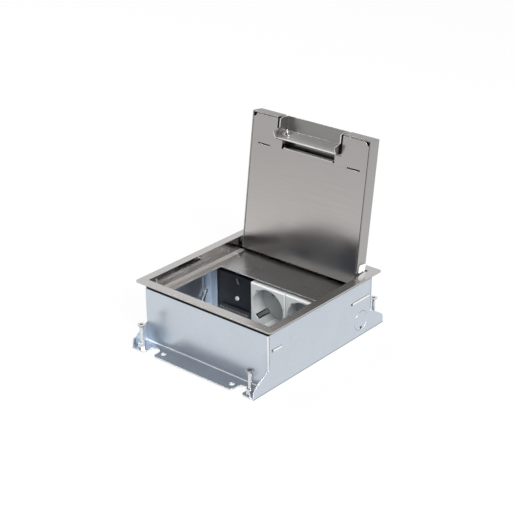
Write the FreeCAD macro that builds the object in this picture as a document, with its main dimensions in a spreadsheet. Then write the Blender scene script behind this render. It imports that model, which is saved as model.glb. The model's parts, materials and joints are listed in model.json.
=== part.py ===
import FreeCAD, Part
import math
import os
import Sketcher

# Floor socket box with a hinged stainless lid, drawn with the lid open at its stop.
# Millimetres. X runs along the front edge, Y to the hinge, Z up.
# The origin is the centre of the foot print, on the surface that the box stands on.

SIZES = [
    # Modules, which set the room that the box needs
    ("module_pitch", 45.0, "standard module width"),
    ("module_gap", 0.2, "gap between modules"),
    ("module_level", 2.0, "underside of the modules"),
    ("module_face", 12.2, "front face of the modules behind the middle"),
    ("device_headroom", 3.6, "from the modules up to the cover plate"),
    ("side_room", 9.0, "lid opening beyond the modules on each side"),
    # Stainless frame
    ("flange_width", 9.5, "floor flange beyond the lid opening"),
    ("flange_sheet", 1.5, "floor flange"),
    ("frame_corner", 3.0, "rounded corners of the flange"),
    ("skirt_sheet", 0.8, "skirt around the lid opening"),
    ("recess_depth", 14.1, "lid recess below the flange top"),
    ("ledge_sheet", 1.2, "ledge and cover plate"),
    ("ledge_width", 5.9, "ledge of the frame around the recess"),
    ("rest_width", 10.5, "lower rest that carries the cover plate"),
    ("rest_sheet", 1.0, "lower rest"),
    ("rest_lap", 1.4, "lower rest under the ledge"),
    ("plate_gap", 0.2, "gap around the cover plate"),
    ("window_side_lap", 4.2, "cover plate over the outer modules"),
    ("window_front", 13.2, "window front edge behind the opening's front edge"),
    ("window_rear_lap", 1.8, "window rear edge behind the modules' face"),
    ("cord_notch_gap", 0.7, "cord notch beyond the lid's cord cut-out"),
    ("cord_notch_margin", 2.2, "ledge left in front of the cord notch"),
    ("trough_reach", 7.3, "hinge trough in front of the hinge axis"),
    ("trough_gap", 1.36, "hinge trough below the lid's swinging edge"),
    ("trough_lip", 4.3, "rear lip of the trough above its floor"),
    ("trough_slot_length", 24.0, "trough slot"),
    ("trough_slot_side", 19.5, "trough slot from the opening's side"),
    ("trough_slot_margin", 1.6, "trough left in front of and behind a slot"),
    ("trough_slot_round", 3.0, "rounded ends of a trough slot"),
    ("seal_sheet", 1.25, "black seal under the flange"),
    ("seal_height", 6.6, "black seal under the flange"),
    ("seal_gap", 0.05, "seal around the skirt"),
    ("bracket_drop", 17.6, "frame bracket below the skirt"),
    ("bracket_margin", 1.9, "frame bracket beyond its slot"),
    ("nib_height", 1.1, "nib of a bracket in its slot"),
    ("nib_lift", 0.2, "nib above the lower edge of its slot"),
    ("nib_gap", 2.4, "open front end of a slot before the nib"),
    ("nib_clearance", 0.3, "nib before the slot's rear end and the wall's outer face"),
    # Galvanised box
    ("box_sheet", 1.2, "galvanised sheet of the box"),
    ("box_side_gap", 0.2, "side wall beside the skirt"),
    ("box_end_gap", 1.7, "front and rear wall beyond the skirt"),
    ("foot_reach", 21.0, "foot flange beyond the wall"),
    ("gusset_height", 22.2, "height where a side wall steps out over the foot"),
    ("gusset_shoulder", 11.0, "height of the gusset's rounded shoulder"),
    ("gusset_setback", 2.8, "gusset's shoulder from the foot's outer edge"),
    ("gusset_round", 2.0, "radius of the gusset's shoulder"),
    ("gusset_toe", 7.6, "height of the gusset's steep toe"),
    ("gusset_toe_setback", 0.4, "top of the steep toe from the foot's outer edge"),
    ("relief_radius", 1.2, "bend relief hole at the corner"),
    ("corner_gap", 0.5, "open seam between a side wall and the end wall that laps it"),
    ("corner_round", 1.0, "rounded upright edges of an end wall"),
    ("bend_radius", 1.0, "inside radius of the foot's bend"),
    ("foot_hole_radius", 2.5, "floor fixing hole"),
    ("foot_hole_side", 33.0, "fixing hole from the side wall"),
    ("foot_hole_inset", 8.7, "fixing hole from the foot's outer edge"),
    ("notch_width", 11.8, "U notch in the foot"),
    ("notch_depth", 13.9, "U notch in from the foot's outer edge"),
    ("notch_side", 20.8, "centre of a U notch from the side wall"),
    ("foot_round", 4.0, "rounded corners of the foot"),
    ("slot_height", 2.2, "bracket slot in a side wall"),
    ("slot_drop", 18.4, "lower edge of the bracket slots below the wall's top"),
    ("front_slot_inset", 4.8, "front slot from the front wall's outer face"),
    ("front_slot_length", 14.8, "front slot"),
    ("rear_slot_inset", 3.5, "rear slot from the rear wall's outer face"),
    ("rear_slot_length", 30.7, "rear slot"),
    ("knockout_radius", 10.5, "cable entry knock-out"),
    ("knockout_inset", 17.0, "knock-out centre from the rear wall's outer face"),
    ("knockout_level", 16.7, "knock-out centre above the floor"),
    ("knockout_gap", 0.25, "cut line around the knock-out disc"),
    ("pry_radius", 1.6, "pry hole in a knock-out disc"),
    ("pry_drop", 7.8, "pry hole below the disc's centre"),
    # Levelling screws
    ("level_side", 7.5, "levelling screw from the side wall"),
    ("level_inset", 5.4, "levelling screw from the foot's outer edge"),
    ("level_radius", 2.0, "levelling screw shank"),
    ("level_length", 27.0, "levelling screw, tip to head"),
    ("level_head_radius", 4.25, "levelling screw head"),
    ("level_head_height", 3.1, "levelling screw head"),
    ("thread_gap", 0.06, "running clearance of screws and pins"),
    ("seat_gap", 0.02, "clearance of a pin that is held fast"),
    ("bush_width", 7.0, "threaded bush across its flats"),
    ("bush_height", 6.3, "threaded bush above the foot"),
    # Lid
    ("lid_side_gap", 2.7, "lid beside the opening's side"),
    ("lid_end_gap", 3.2, "lid before the opening's front and rear"),
    ("lid_rest_gap", 0.3, "closed lid above the ledge"),
    ("shell_sheet", 1.5, "outer shell of the lid"),
    ("pan_sheet", 1.0, "inner plate of the lid"),
    ("seam_gap", 0.4, "seam between the shell and the inner plate"),
    ("hinge_inset", 6.0, "hinge axis from the lid's hinge edge"),
    ("hinge_top_gap", 0.3, "hinge block under the shell's top plate"),
    ("open_angle", 97.74, "lid angle between closed and open"),
    ("hinge_pin_radius", 2.0, "hinge pin"),
    ("hinge_boss_radius", 4.2, "hinge block around the pin"),
    ("side_gap", 1.0, "hinge block beside the inner plate"),
    ("nut_width", 7.0, "nut of a hinge pin across its flats"),
    ("nut_height", 2.2, "nut of a hinge pin"),
    ("nut_gap", 0.3, "nut beside the inner plate"),
    ("pin_end", 0.6, "hinge pin beyond its nut"),
    ("notch_reach", 20.5, "side wall notch at the hinge edge"),
    ("strip_gap", 0.4, "strip under the hinge block"),
    ("notch_round", 3.0, "rounded corner of the notch"),
    ("cheek_gap", 0.2, "white cheek beside the edges of the notch"),
    ("cheek_pad", 6.0, "pad of a cheek on the folded side of the inner plate"),
    ("peg_radius", 1.5, "stop peg"),
    ("peg_orbit", 6.4, "stop peg from the hinge axis"),
    ("peg_gap", 0.3, "stop peg above the hinge block when open"),
    ("pan_wall_gap", 0.5, "folded side of the inner plate under the shell"),
    ("corner_relief", 3.8, "quarter round relief at the inner plate's corners"),
    ("dash_length", 16.4, "short slot in the inner plate"),
    ("dash_width", 1.2, "short slot in the inner plate"),
    ("dash_side", 17.8, "short slot's centre from the lid's side"),
    ("dash_place", 31.9, "short slot from the free edge"),
    ("stiffener_width", 22.0, "stiffening channel"),
    ("stiffener_side", 27.8, "stiffening channel's centre from the lid's side"),
    ("stiffener_front", 12.0, "stiffening channel behind the cord cut-out"),
    ("stiffener_rear", 16.8, "stiffening channel before the hinge edge"),
    # Cord outlet
    ("outlet_width", 81.6, "cord cut-out at the free edge"),
    ("outlet_step", 7.8, "inner part of the cut-out, in from each side"),
    ("shell_cut_depth", 21.4, "cord cut-out of the outer shell"),
    ("outlet_lap", 1.6, "inner plate's cut-out behind the shell's"),
    ("slot_reach", 6.8, "inner part of the cut-out behind the wide part"),
    ("lip_height", 5.0, "folded lip of the inner cut-out"),
    ("lip_side_gap", 2.0, "folded lip from the ends of the cut-out"),
    ("lip_bend", 0.8, "outer radius of the folded lip's bend"),
    ("lip_relief_radius", 1.4, "bend relief beside the folded lip"),
    ("flap_side_gap", 2.3, "flap beside the shell's cut-out"),
    ("flap_sheet", 1.2, "flap"),
    ("flap_rear_gap", 3.6, "flap's top plate before the shell"),
    ("flap_front_gap", 0.3, "flap behind the free edge"),
    ("flap_fold", 3.3, "fold of the inclined wall before the pivot"),
    ("flap_lip_place", 2.0, "edge of the inclined wall behind the pivot"),
    ("flap_lip_drop", 3.3, "edge of the inclined wall below the lid's inner face"),
    ("ear_lift", 0.2, "step of an ear above the lid's inner face"),
    ("ear_front", 4.5, "front corner of an ear above the lid's inner face"),
    ("ear_bevel", 1.7, "front bevel of an ear"),
    ("ear_step", 7.8, "step of an ear before the pivot"),
    ("ear_nose", 4.5, "nose of an ear before the pivot"),
    ("ear_drop", 8.8, "nose of an ear below the lid's inner face"),
    ("ear_heel_drop", 4.5, "heel of an ear below the lid's inner face"),
    ("ear_heel", 3.0, "heel of an ear behind the pivot"),
    ("ear_round", 2.4, "ear around the pivot"),
    ("pivot_setback", 0.3, "flap pivot behind the flap's top plate"),
    ("pivot_drop", 2.8, "flap pivot below the lid's top"),
    ("pivot_radius", 1.2, "flap pivot pin"),
    ("pivot_pin_end", 0.6, "flap pivot pin beyond the ear"),
    ("pivot_tab", 1.2, "flap pivot bracket"),
    ("pivot_tab_gap", 0.3, "flap pivot bracket beside the cord cut-out"),
    ("pivot_tab_reach", 3.0, "flap pivot bracket around the pin"),
    # Devices
    ("well_radius", 19.8, "socket well"),
    ("well_depth", 17.5, "socket well"),
    ("cover_floor", 3.0, "socket cover behind the well"),
    ("cover_chamfer", 0.9, "front edges of a cover"),
    ("groove_width", 4.4, "earth clip groove"),
    ("groove_depth", 1.4, "earth clip groove beyond the well"),
    ("groove_start", 1.4, "earth clip groove behind the socket's face"),
    ("guide_width", 5.4, "plug guide notch"),
    ("guide_reach", 1.2, "plug guide notch beyond the well"),
    ("guide_depth", 3.6, "plug guide notch behind the socket's face"),
    ("pin_pitch", 19.0, "plug pins"),
    ("pin_hole_radius", 2.6, "plug pin hole"),
    ("base_margin", 2.0, "socket base inside the cover's outline"),
    ("base_depth", 13.3, "socket base"),
    ("sleeve_width", 6.6, "folded contact sleeve"),
    ("sleeve_bore", 4.9, "folded contact sleeve, inside"),
    ("sleeve_length", 11.0, "folded contact sleeve"),
    ("clip_sheet", 0.8, "earth clip"),
    ("clip_width", 3.2, "earth clip"),
    ("clip_inset", 1.1, "inner face of an earth clip inside the well"),
    ("clip_setback", 2.0, "end of an earth clip behind the socket's face"),
    ("clip_gap", 0.1, "earth strip behind the cover"),
    ("clip_room", 0.6, "channel for the earth strip around it"),
    ("insert_depth", 14.0, "black insert"),
    ("insert_wall", 2.0, "black insert"),
    ("arc_radius", 8.5, "curved rib on the insert"),
    ("arc_sheet", 1.3, "curved rib on the insert"),
    ("arc_shift", 12.0, "centre of the curved rib to the right of the insert's"),
    ("arc_drop", 2.5, "centre of the curved rib below the insert's top"),
    ("insert_screw_shift", 4.2, "insert screw to the right of the insert's centre"),
    ("insert_screw_level", 22.5, "insert screw above the floor"),
    ("insert_screw_radius", 2.3, "insert screw head"),
    ("insert_screw_head", 1.4, "insert screw head"),
    ("rail_trim", 7.0, "cable rail shorter than a module"),
    ("rail_shift", 2.0, "cable rail to the right of the insert's centre"),
    ("rail_height", 4.0, "cable rail"),
    ("rail_depth", 4.0, "cable rail"),
    ("rail_level", 7.0, "underside of the cable rail"),
    ("tooth_pitch", 2.0, "teeth of the cable rail"),
    ("tooth_depth", 0.8, "teeth of the cable rail"),
    ("tooth_head", 1.0, "plain head of the cable rail above its teeth"),
    ("cradle_sheet", 0.8, "carrier cradle"),
    ("carrier_sheet", 1.2, "carrier bracket"),
    ("carrier_leg", 12.4, "carrier bracket leg on the side wall"),
    ("carrier_gap", 0.1, "carrier bracket beside the outer module"),
    ("carrier_top_gap", 0.2, "carrier bracket under the frame"),
    ("tab_width", 2.6, "earth tab"),
    ("tab_sheet", 1.2, "earth tab"),
    ("tab_length", 13.0, "earth tab"),
    ("tab_lean", 34.0, "lean of the earth tab's blade, in degrees"),
    ("tab_place", 3.0, "earth tab behind the middle"),
    ("tab_level", 23.5, "earth tab above the floor"),
]

doc = FreeCAD.newDocument("floor_socket_box")
sheet = doc.addObject("Spreadsheet::Sheet", "Sizes")
for row, (alias, number, meaning) in enumerate(SIZES, start=1):
    sheet.set(f"A{row}", meaning)
    sheet.set(f"B{row}", str(number))
    sheet.setAlias(f"B{row}", alias)
doc.recompute()


class Size:
    """A number together with the expression that works it out from the sheet."""

    def __init__(self, number, text):
        self.number = number
        self.text = text

    @staticmethod
    def of(other):
        return other if isinstance(other, Size) else Size(float(other), repr(float(other)))

    def __add__(self, other):
        other = Size.of(other)
        return Size(self.number + other.number, f"({self.text} + {other.text})")

    def __sub__(self, other):
        other = Size.of(other)
        return Size(self.number - other.number, f"({self.text} - {other.text})")

    def __mul__(self, other):
        other = Size.of(other)
        return Size(self.number * other.number, f"({self.text} * {other.text})")

    def __truediv__(self, other):
        other = Size.of(other)
        return Size(self.number / other.number, f"({self.text} / {other.text})")

    def __radd__(self, other):
        return Size.of(other) + self

    def __rsub__(self, other):
        return Size.of(other) - self

    def __rmul__(self, other):
        return Size.of(other) * self

    def __neg__(self):
        return Size(-self.number, f"(-{self.text})")

    def root(self):
        return Size(math.sqrt(self.number), f"sqrt({self.text})")


class Sheet:
    """Reads every named cell of the sheet as a Size."""

    def __getattr__(self, alias):
        return Size(float(getattr(sheet, alias)), f"Sizes.{alias}")


cell = Sheet()
nodes = []


def bind(item, path, size):
    item.setExpression(path, Size.of(size).text)


def new_body(label):
    body = doc.addObject("PartDesign::Body", label)
    body.Label = label
    body.AllowCompound = True
    nodes.append(body)
    return body


def new_sketch(body, plane, offset):
    """An empty sketch parallel to an origin plane, moved along that plane's normal."""
    sketch = body.newObject("Sketcher::SketchObject", f"{body.Name}_sketch")
    origin_plane = [part for part in body.Origin.OriginFeatures if part.Role == f"{plane}_Plane"][0]
    sketch.AttachmentSupport = [(origin_plane, "")]
    sketch.MapMode = "FlatFace"
    bind(sketch, ".AttachmentOffset.Base.z", offset)
    return sketch


def outline(sketch, points):
    """A closed polygon whose corners are bound to the sheet."""
    points = [(Size.of(x), Size.of(y)) for x, y in points]
    corners = [FreeCAD.Vector(x.number, y.number, 0) for x, y in points]
    first = sketch.GeometryCount
    count = len(corners)
    for i in range(count):
        sketch.addGeometry(Part.LineSegment(corners[i], corners[(i + 1) % count]), False)
    for i in range(count):
        sketch.addConstraint(Sketcher.Constraint("Coincident", first + i, 2, first + (i + 1) % count, 1))
        for kind, size in (("DistanceX", points[i][0]), ("DistanceY", points[i][1])):
            number = sketch.addConstraint(Sketcher.Constraint(kind, first + i, 1, size.number))
            bind(sketch, f"Constraints[{number}]", size)


def rectangle(sketch, x0, x1, y0, y1):
    outline(sketch, [(x0, y0), (x1, y0), (x1, y1), (x0, y1)])


def circle(sketch, x, y, radius):
    x, y, radius = Size.of(x), Size.of(y), Size.of(radius)
    number = sketch.addGeometry(Part.Circle(FreeCAD.Vector(x.number, y.number, 0),
                                            FreeCAD.Vector(0, 0, 1), radius.number), False)
    for kind, size in (("DistanceX", x), ("DistanceY", y)):
        index = sketch.addConstraint(Sketcher.Constraint(kind, number, 3, size.number))
        bind(sketch, f"Constraints[{index}]", size)
    index = sketch.addConstraint(Sketcher.Constraint("Radius", number, radius.number))
    bind(sketch, f"Constraints[{index}]", radius)


def draw(sketch, shapes):
    makers = {"rectangle": rectangle, "outline": outline, "circle": circle}
    for kind, *values in shapes:
        makers[kind](sketch, *values)


def extrude(kind, body, plane, low, high, shapes):
    """Pads or pockets the shapes between two levels along the plane's world axis."""
    low, high = Size.of(low), Size.of(high)
    offset = -high if plane == "XZ" else low
    sketch = new_sketch(body, plane, offset)
    draw(sketch, shapes)
    feature = body.newObject(f"PartDesign::{kind}", f"{body.Name}_{kind}")
    feature.Profile = sketch
    feature.Reversed = kind == "Pocket"
    bind(feature, "Length", high - low)
    body.Tip = feature
    return feature


def add(body, plane, low, high, *shapes):
    return extrude("Pad", body, plane, low, high, shapes)


def cut(body, plane, low, high, *shapes):
    return extrude("Pocket", body, plane, low, high, shapes)


def span(side, near, far):
    """Two distances from the middle as a low and a high value on the given side."""
    return (near, far) if side > 0 else (-Size.of(far), -Size.of(near))


def dress_edges(kind, body, size, direction, wanted):
    """Fillets or chamfers the body's straight edges along one axis whose middle passes the test."""
    doc.recompute()
    base = body.Tip
    names = []
    for index, edge in enumerate(base.Shape.Edges, start=1):
        if edge.Curve.TypeId != "Part::GeomLine":
            continue
        along = edge.tangentAt(edge.FirstParameter)
        middle = edge.valueAt((edge.FirstParameter + edge.LastParameter) / 2)
        if abs(getattr(along, direction)) > 0.999 and wanted(middle):
            names.append(f"Edge{index}")
    if not names:
        raise RuntimeError(f"no edge to dress on {body.Label}")
    dressed = body.newObject(f"PartDesign::{kind}", f"{body.Name}_{kind}")
    dressed.Base = (base, names)
    bind(dressed, "Radius" if kind == "Fillet" else "Size", size)
    body.Tip = dressed


def round_edges(body, radius, direction, wanted):
    dress_edges("Fillet", body, radius, direction, wanted)


def near(value, size, slack=0.05):
    return abs(value - Size.of(size).number) < slack


# Shared places, worked out once from the sheet
module_top = cell.module_level + cell.module_pitch
carrier_end = cell.module_pitch * 1.5
half_opening = carrier_end + cell.side_room
half_skirt = half_opening + cell.skirt_sheet
half_frame = half_opening + cell.flange_width
ledge_low = module_top + cell.device_headroom
ledge_top = ledge_low + cell.ledge_sheet
frame_top = ledge_top + cell.recess_depth
flange_low = frame_top - cell.flange_sheet
ledge_edge = half_opening - cell.ledge_width
rest_edge = half_opening - cell.rest_width
half_window = carrier_end - cell.window_side_lap
window_front = cell.window_front - half_opening
half_outlet = cell.outlet_width / 2
half_notch = half_outlet + cell.cord_notch_gap
notch_front = cell.cord_notch_margin - half_opening
inner_x = half_skirt + cell.box_side_gap
inner_y = half_skirt + cell.box_end_gap
half_width = inner_x + cell.box_sheet
half_depth = inner_y + cell.box_sheet
wall_height = flange_low - cell.seal_height
foot_edge = half_depth + cell.foot_reach
level_x = inner_x - cell.level_side
level_y = foot_edge - cell.level_inset
hole_x = inner_x - cell.foot_hole_side
hole_y = foot_edge - cell.foot_hole_inset
slot_level = wall_height - cell.slot_drop
slots = ((cell.front_slot_inset - half_depth, cell.front_slot_length),
         (half_depth - cell.rear_slot_inset - cell.rear_slot_length, cell.rear_slot_length))
knockout_y = half_depth - cell.knockout_inset
half_lid = half_opening - cell.lid_side_gap
half_length = half_opening - cell.lid_end_gap
lid_face = ledge_top + cell.lid_rest_gap
shell_low = frame_top - cell.shell_sheet
hinge_y = half_length - cell.hinge_inset
hinge_z = shell_low - cell.hinge_top_gap - cell.hinge_boss_radius
hinge_depth = hinge_z - lid_face
swing = (cell.hinge_inset * cell.hinge_inset + hinge_depth * hinge_depth).root()
trough_top = hinge_z - swing - cell.trough_gap
trough_front = hinge_y - cell.trough_reach
pan_edge = half_lid - cell.shell_sheet - cell.seam_gap
pan_inner = pan_edge - cell.pan_sheet
pan_front = cell.shell_sheet + cell.seam_gap - half_length
block_face = pan_edge + cell.side_gap


# Box

def side_wall(label, side):
    """A side wall whose ends step out over the feet as gussets."""
    wall = new_body(label)
    low, high = span(side, inner_x, half_width)
    step = foot_edge - cell.gusset_setback
    toe = foot_edge - cell.gusset_toe_setback
    upright = inner_y - cell.corner_gap
    half = [(foot_edge, 0), (toe, cell.gusset_toe), (step, cell.gusset_shoulder),
            (half_depth, cell.gusset_height), (upright, cell.gusset_height), (upright, wall_height)]
    profile = half + [(-y, z) for y, z in reversed(half)]
    add(wall, "YZ", low, high, ("outline", profile))
    cut(wall, "YZ", low, high,
        *[("rectangle", start, start + length, slot_level, slot_level + cell.slot_height)
          for start, length in slots],
        ("circle", knockout_y, cell.knockout_level, cell.knockout_radius),
        *[("circle", end, cell.gusset_height, cell.relief_radius) for end in (-half_depth, half_depth)])
    round_edges(wall, cell.gusset_round, "x",
                lambda at: near(abs(at.y), step) and near(at.z, cell.gusset_shoulder))


def end_wall(label, side):
    """The front or rear wall: it laps the side walls above the gussets and folds out into a foot."""
    wall = new_body(label)
    low, high = span(side, inner_y, half_depth)
    lap = cell.gusset_height + cell.relief_radius
    add(wall, "XZ", low, high, ("rectangle", -inner_x, inner_x, 0, lap))
    add(wall, "XZ", low, high, ("rectangle", -half_width, half_width, lap, wall_height))
    low, high = span(side, half_depth, foot_edge)
    add(wall, "XY", 0, cell.box_sheet, ("rectangle", -inner_x, inner_x, low, high))
    notch_end = foot_edge - cell.notch_depth + cell.notch_width / 2
    half_mouth = cell.notch_width / 2
    notch_x = inner_x - cell.notch_side
    for hand in (-1, 1):
        low, high = span(side, notch_end, foot_edge)
        cut(wall, "XY", 0, cell.box_sheet,
            ("rectangle", hand * notch_x - half_mouth, hand * notch_x + half_mouth, low, high))
        cut(wall, "XY", 0, cell.box_sheet, ("circle", hand * notch_x, side * notch_end, half_mouth))
    cut(wall, "XY", 0, cell.box_sheet,
        *[("circle", hand * hole_x, side * hole_y, cell.foot_hole_radius) for hand in (-1, 1)],
        *[hexagon(hand * level_x, side * level_y, cell.bush_width) for hand in (-1, 1)])
    round_edges(wall, cell.foot_round, "z",
                lambda at: near(abs(at.y), foot_edge) and not near(abs(at.x), inner_x))
    round_edges(wall, cell.bend_radius, "x",
                lambda at: near(abs(at.y), half_depth) and near(at.z, cell.box_sheet))
    round_edges(wall, cell.corner_round, "z",
                lambda at: near(abs(at.y), half_depth) and near(abs(at.x), half_width))


def base_plate():
    plate = new_body("base_plate")
    add(plate, "XY", 0, cell.box_sheet, ("rectangle", -inner_x, inner_x, -inner_y, inner_y))


def knockout_discs():
    """The cable entry discs, still in place inside their cut lines, each with a pry hole."""
    discs = new_body("knockout_discs")
    for side in (-1, 1):
        low, high = span(side, inner_x, half_width)
        add(discs, "YZ", low, high,
            ("circle", knockout_y, cell.knockout_level, cell.knockout_radius - cell.knockout_gap),
            ("circle", knockout_y, cell.knockout_level - cell.pry_drop, cell.pry_radius))


def hexagon(x, y, across_flats):
    """A hexagon about a centre, with two corners along X."""
    reach = across_flats / math.sqrt(3)
    turns = [math.radians(60 * i) for i in range(6)]
    return ("outline", [(x + reach * math.cos(turn), y + reach * math.sin(turn)) for turn in turns])


def levelling_bushes():
    """Hexagonal threaded bushes, pressed through the feet."""
    bushes = new_body("levelling_bushes")
    places = [(x, y) for x in (-level_x, level_x) for y in (-level_y, level_y)]
    top = cell.box_sheet + cell.bush_height
    add(bushes, "XY", 0, top, *[hexagon(x, y, cell.bush_width) for x, y in places])
    cut(bushes, "XY", 0, top,
        *[("circle", x, y, cell.level_radius + cell.thread_gap) for x, y in places])


def levelling_screw(label, x, y):
    """A countersunk levelling screw with its tip flush with the feet."""
    screw = new_body(label)
    sketch = new_sketch(screw, "XZ", 0)
    head_low = cell.level_length - cell.level_head_height
    outline(sketch, [(0, 0), (cell.level_radius, 0), (cell.level_radius, head_low),
                     (cell.level_head_radius, cell.level_length), (0, cell.level_length)])
    turn = screw.newObject("PartDesign::Revolution", f"{label}_turn")
    turn.Profile = sketch
    turn.ReferenceAxis = (sketch, ["V_Axis"])
    turn.Angle = 360
    screw.Tip = turn
    bind(screw, ".Placement.Base.x", x)
    bind(screw, ".Placement.Base.y", y)


def earth_tab():
    """The earth terminal tab: a root on the left bracket and a blade that leans forward."""
    tab = new_body("earth_tab")
    face = cell.carrier_sheet - inner_x
    root_rear = cell.tab_place + cell.tab_width
    root_top = cell.tab_level + cell.tab_width
    add(tab, "YZ", face, face + cell.tab_sheet,
        ("rectangle", cell.tab_place - cell.tab_width / 2, root_rear,
         cell.tab_level - cell.tab_width, root_top))
    blade_top = cell.tab_level + cell.tab_width / 2
    lean = cell.tab_length * math.sin(math.radians(cell.tab_lean.number))
    drop = cell.tab_length * math.cos(math.radians(cell.tab_lean.number))
    add(tab, "YZ", face + cell.tab_sheet, face + cell.tab_sheet * 2,
        ("outline", [(cell.tab_place, blade_top), (root_rear, blade_top),
                     (root_rear - lean, blade_top - drop), (cell.tab_place - lean, blade_top - drop)]))


# Frame

def frame_ring(low, high, outer, inner, body):
    add(body, "XY", low, high, ("rectangle", -outer, outer, -outer, outer),
        ("rectangle", -inner, inner, -inner, inner))


def ledge_outline(outer, inner, rear):
    """A U of constant width that is open to the hinge side."""
    return ("outline", [(-outer, rear), (-outer, -outer), (outer, -outer), (outer, rear),
                        (inner, rear), (inner, -inner), (-inner, -inner), (-inner, rear)])


def floor_frame():
    """Flange, skirt and stepped ledge, folded and welded from stainless sheet."""
    frame = new_body("floor_frame")
    rest_low = ledge_low - cell.rest_sheet
    skirt_middle = half_opening + cell.skirt_sheet / 2
    frame_ring(flange_low, frame_top, half_frame, half_opening, frame)
    frame_ring(ledge_low, flange_low, half_skirt, half_opening, frame)
    add(frame, "XY", ledge_low, ledge_top, ledge_outline(skirt_middle, ledge_edge, trough_front))
    add(frame, "XY", rest_low, ledge_low,
        ledge_outline(ledge_edge + cell.rest_lap, rest_edge, trough_front - cell.ledge_sheet))
    cut(frame, "XY", rest_low, ledge_top, ("rectangle", -half_notch, half_notch, notch_front, -rest_edge))
    round_edges(frame, cell.frame_corner, "z",
                lambda at: near(abs(at.x), half_frame) and near(abs(at.y), half_frame))


def frame_seal():
    """The black seal that closes the gap between the flange and the box walls."""
    seal = new_body("frame_seal")
    inner = half_skirt + cell.seal_gap
    frame_ring(wall_height, flange_low, inner + cell.seal_sheet, inner, seal)


def frame_brackets():
    """Four plates under the skirt, each with a nib in a slot of the side wall."""
    brackets = new_body("frame_brackets")
    for side in (-1, 1):
        low, high = span(side, half_opening, inner_x)
        for start, length in slots:
            add(brackets, "YZ", low, high,
                ("rectangle", start - cell.bracket_margin, start + length + cell.bracket_margin,
                 ledge_low - cell.bracket_drop, ledge_low))
    nib_low = slot_level + cell.nib_lift
    for side in (-1, 1):
        low, high = span(side, inner_x, half_width - cell.nib_clearance)
        for start, length in slots:
            add(brackets, "YZ", low, high,
                ("rectangle", start + cell.nib_gap, start + length - cell.nib_clearance,
                 nib_low, nib_low + cell.nib_height))


def hinge_trough():
    """The sunken tray behind the cover plate that lets the lid's edge swing through."""
    trough = new_body("hinge_trough")
    low = trough_top - cell.ledge_sheet
    front = trough_front - cell.ledge_sheet
    add(trough, "XY", low, trough_top, ("rectangle", -half_opening, half_opening, front, half_opening))
    add(trough, "XY", trough_top, ledge_low, ("rectangle", -half_opening, half_opening, front, trough_front))
    add(trough, "XY", trough_top, trough_top + cell.trough_lip,
        ("rectangle", -half_opening, half_opening, half_opening - cell.ledge_sheet, half_opening))
    slot_front = trough_front + cell.trough_slot_margin
    slot_rear = half_opening - cell.trough_slot_margin
    slot_outer = half_opening - cell.trough_slot_side
    slot_inner = slot_outer - cell.trough_slot_length
    for side in (-1, 1):
        near_end, far_end = span(side, slot_inner, slot_outer)
        cut(trough, "XY", low, trough_top, ("rectangle", near_end, far_end, slot_front, slot_rear))
        edge, wall = span(side, half_opening - cell.ledge_sheet, half_opening)
        add(trough, "XY", trough_top, ledge_low, ("rectangle", edge, wall, front, half_opening))
    round_edges(trough, cell.trough_slot_round, "z",
                lambda at: any(near(abs(at.x), end) for end in (slot_inner, slot_outer)))


def cover_plate():
    """The plate over the devices, with the window that the plugs go through."""
    plate = new_body("cover_plate")
    edge = ledge_edge - cell.plate_gap
    add(plate, "XY", ledge_low, ledge_top, ("rectangle", -edge, edge, -edge, trough_front))
    cut(plate, "XY", ledge_low, ledge_top,
        ("rectangle", -half_window, half_window, window_front, cell.module_face + cell.window_rear_lap))
    cut(plate, "XY", ledge_low, ledge_top,
        ("rectangle", -half_notch, half_notch, -edge, window_front))


# Hinge

def hinge_block(label, side):
    """A block welded to the skirt that holds the hinge pin and stops the lid when open."""
    block = new_body(label)
    low, high = span(side, block_face, half_opening)
    add(block, "YZ", low, high, ("circle", hinge_y, hinge_z, cell.hinge_boss_radius))
    add(block, "YZ", low, high,
        ("rectangle", hinge_y, half_opening, hinge_z - cell.hinge_boss_radius,
         hinge_z + cell.hinge_boss_radius))
    cut(block, "YZ", low, high, ("circle", hinge_y, hinge_z, cell.hinge_pin_radius + cell.seat_gap))


def hinge_pins():
    """Both hinge pins, each with its nut inside the lid."""
    pins = new_body("hinge_pins")
    nut_far = pan_inner - cell.nut_gap
    for side in (-1, 1):
        low, high = span(side, nut_far - cell.nut_height - cell.pin_end, half_opening)
        add(pins, "YZ", low, high, ("circle", hinge_y, hinge_z, cell.hinge_pin_radius))
    for side in (-1, 1):
        low, high = span(side, nut_far - cell.nut_height, nut_far)
        add(pins, "YZ", low, high, hexagon(hinge_y, hinge_z, cell.nut_width))


# Lid, drawn closed and then turned open about the hinge axis

def swing_open(body):
    axis = FreeCAD.Vector(0, hinge_y.number, hinge_z.number)
    turn = FreeCAD.Rotation(FreeCAD.Vector(1, 0, 0), -cell.open_angle.number)
    body.Placement = FreeCAD.Placement(FreeCAD.Vector(0, 0, 0), turn, axis)


def from_edge(distance):
    """A place behind the lid's free edge."""
    return distance - half_length


outlet_end = from_edge(cell.shell_cut_depth + cell.outlet_lap)
slot_end = outlet_end + cell.slot_reach
half_slot = half_outlet - cell.outlet_step
plate_end = from_edge(cell.shell_cut_depth - cell.flap_rear_gap)
pivot_y = plate_end + cell.pivot_setback
pivot_z = frame_top - cell.pivot_drop
half_flap = half_outlet - cell.flap_side_gap


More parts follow.
